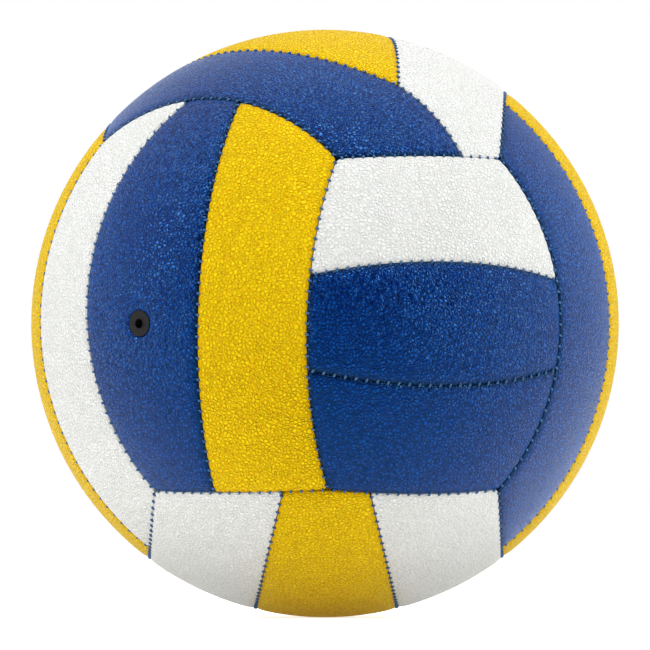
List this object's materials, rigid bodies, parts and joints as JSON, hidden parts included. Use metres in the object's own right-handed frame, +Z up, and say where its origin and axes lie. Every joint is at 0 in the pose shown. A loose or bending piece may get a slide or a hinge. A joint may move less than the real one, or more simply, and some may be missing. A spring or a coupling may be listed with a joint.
{
  "type": "volleyball",
  "caption": "Inflated ball with a cover of turned and sewn leather panels in white, blue and yellow, over foam pads, a cloth lining and a bladder with a flush needle valve.",
  "frame": {"origin": "the ball's centre", "axes": "+Z up, -Y towards the side that the picture shows, +X to the right in that view; the valve is on the left of that view"},
  "size_m": [0.21, 0.21, 0.21],
  "materials": {
    "leather_white": "fine pebbled grain, satin",
    "leather_blue": "fine pebbled grain, satin",
    "leather_yellow": "fine pebbled grain, satin",
    "foam": "closed-cell foam, matte",
    "thread": "twisted sewing thread",
    "lining": "plain weave cloth, matte",
    "patch": "rubberised cloth, matte",
    "bladder": "smooth butyl rubber, satin",
    "valve_rubber": "moulded rubber, matte",
    "plug_rubber": "soft rubber, matte"
  },
  "bodies": {
    "root": {"cover_front_upper": "leather_white", "cover_front_middle": "leather_blue", "cover_front_lower": "leather_blue", "cover_valve_right": "leather_yellow", "cover_valve_middle": "leather_blue", "cover_left_front": "leather_white", "cover_left_middle": "leather_yellow", "cover_left_rear": "leather_white", "cover_crest": "leather_blue", "cover_top_middle": "leather_yellow", "cover_top_right": "leather_white", "cover_top_left": "leather_white", "cover_right_front": "leather_blue", "cover_right_middle": "leather_yellow", "cover_right_rear": "leather_blue", "cover_bottom_left": "leather_white", "cover_bottom_middle": "leather_yellow", "cover_bottom_right": "leather_white", "cover_back_upper": "leather_blue", "cover_back_middle": "leather_yellow", "cover_back_lower": "leather_blue", "pad_front_upper": "foam", "pad_front_middle": "foam", "pad_front_lower": "foam", "pad_valve_right": "foam", "pad_valve_middle": "foam", "pad_left_front": "foam", "pad_left_middle": "foam", "pad_left_rear": "foam", "pad_crest": "foam", "pad_top_middle": "foam", "pad_top_right": "foam", "pad_top_left": "foam", "pad_right_front": "foam", "pad_right_middle": "foam", "pad_right_rear": "foam", "pad_bottom_left": "foam", "pad_bottom_middle": "foam", "pad_bottom_right": "foam", "pad_back_upper": "foam", "pad_back_middle": "foam", "pad_back_lower": "foam", "thread_front": "thread", "thread_valve_side": "thread", "thread_left": "thread", "thread_right": "thread", "thread_top": "thread", "thread_bottom": "thread", "thread_back": "thread", "cloth_lining": "lining", "valve_patch": "patch", "bladder": "bladder", "valve_body": "valve_rubber", "valve_plug": "plug_rubber"}
  },
  "joints": []
}
